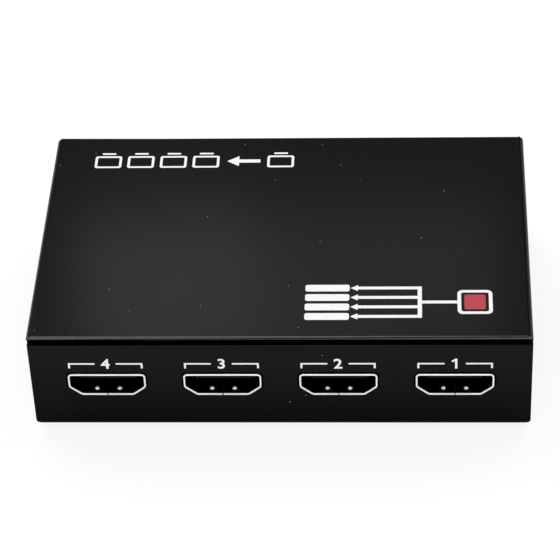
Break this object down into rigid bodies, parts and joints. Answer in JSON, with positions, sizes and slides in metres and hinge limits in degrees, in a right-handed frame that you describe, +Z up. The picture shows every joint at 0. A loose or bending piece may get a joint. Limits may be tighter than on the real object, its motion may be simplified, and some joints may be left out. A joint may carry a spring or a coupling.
{
  "type": "video splitter",
  "caption": "Low black sheet-metal box that sends one video signal to several screens: a row of output sockets in front, an input socket, power jack and light behind.",
  "frame": {"origin": "under the middle of the case, on the surface that the feet stand on", "axes": "+X to the right of the front panel, -Y out of the front panel, +Z up"},
  "size_m": [0.095, 0.0604, 0.0246],
  "materials": {
    "coat": "satin black powder coat, fine texture",
    "screw_black": "black zinc",
    "rubber": "matt rubber",
    "board": "solder mask over glass laminate",
    "standoff": "zinc plate",
    "zinc": "zinc plate",
    "nickel": "bright nickel plate",
    "insulator": "moulded, matt",
    "gold": "gold flash",
    "jack": "moulded, matt",
    "tin": "tin plate",
    "lens": "tinted, clear",
    "chip": "moulded, matt",
    "pad": "soft, matt",
    "sink": "satin anodised",
    "can": "bright can",
    "ferrite": "dull ferrite",
    "ceramic": "fired ceramic"
  },
  "bodies": {
    "case": {"base_tray": "coat", "top_cover": "coat", "cover_screws": "screw_black", "rubber_feet": "rubber", "circuit_board": "board", "standoffs": "standoff", "board_screws": "zinc", "output_1_shell": "nickel", "output_1_insulator": "insulator", "output_1_contacts": "gold", "output_2_shell": "nickel", "output_2_insulator": "insulator", "output_2_contacts": "gold", "output_3_shell": "nickel", "output_3_insulator": "insulator", "output_3_contacts": "gold", "output_4_shell": "nickel", "output_4_insulator": "insulator", "output_4_contacts": "gold", "input_shell": "nickel", "input_insulator": "insulator", "input_contacts": "gold", "jack_housing": "jack", "jack_pin": "tin", "jack_leaf_lug": "tin", "power_light_lens": "lens", "power_light_leads": "tin", "splitter_chip": "chip", "splitter_chip_leads": "tin", "thermal_pad": "pad", "heat_sink": "sink", "crystal": "can", "memory_chips": "chip", "memory_leads": "tin", "regulators": "chip", "regulator_leads": "tin", "power_inductor": "ferrite", "capacitor_cans": "can", "capacitor_bases": "insulator", "ceramic_capacitors": "ceramic", "resistors": "chip", "surge_protectors": "chip"},
    "output_1_spring": {"output_1_fingers": "nickel"},
    "output_2_spring": {"output_2_fingers": "nickel"},
    "output_3_spring": {"output_3_fingers": "nickel"},
    "output_4_spring": {"output_4_fingers": "nickel"},
    "input_spring": {"input_fingers": "nickel"},
    "jack_spring": {"jack_leaf": "tin"}
  },
  "joints": [
    {"name": "output_1_finger_flex", "type": "hinge", "parent": "case", "child": "output_1_spring", "pos_m": [0.033, -0.023, 0.00972], "axis": [1, 0, 0], "range_deg": [0, 2.8], "stiffness_Nm_per_rad": 0.2},
    {"name": "output_2_finger_flex", "type": "hinge", "parent": "case", "child": "output_2_spring", "pos_m": [0.011, -0.023, 0.00972], "axis": [1, 0, 0], "range_deg": [0, 2.8], "stiffness_Nm_per_rad": 0.2},
    {"name": "output_3_finger_flex", "type": "hinge", "parent": "case", "child": "output_3_spring", "pos_m": [-0.011, -0.023, 0.00972], "axis": [1, 0, 0], "range_deg": [0, 2.8], "stiffness_Nm_per_rad": 0.2},
    {"name": "output_4_finger_flex", "type": "hinge", "parent": "case", "child": "output_4_spring", "pos_m": [-0.033, -0.023, 0.00972], "axis": [1, 0, 0], "range_deg": [0, 2.8], "stiffness_Nm_per_rad": 0.2},
    {"name": "input_finger_flex", "type": "hinge", "parent": "case", "child": "input_spring", "pos_m": [0.011, 0.023, 0.00972], "axis": [-1, 0, 0], "range_deg": [0, 2.8], "stiffness_Nm_per_rad": 0.2},
    {"name": "jack_leaf_flex", "type": "hinge", "parent": "case", "child": "jack_spring", "pos_m": [-0.03, 0.0173, 0.01175], "axis": [-1, 0, 0], "range_deg": [0, 3], "stiffness_Nm_per_rad": 0.4}
  ]
}
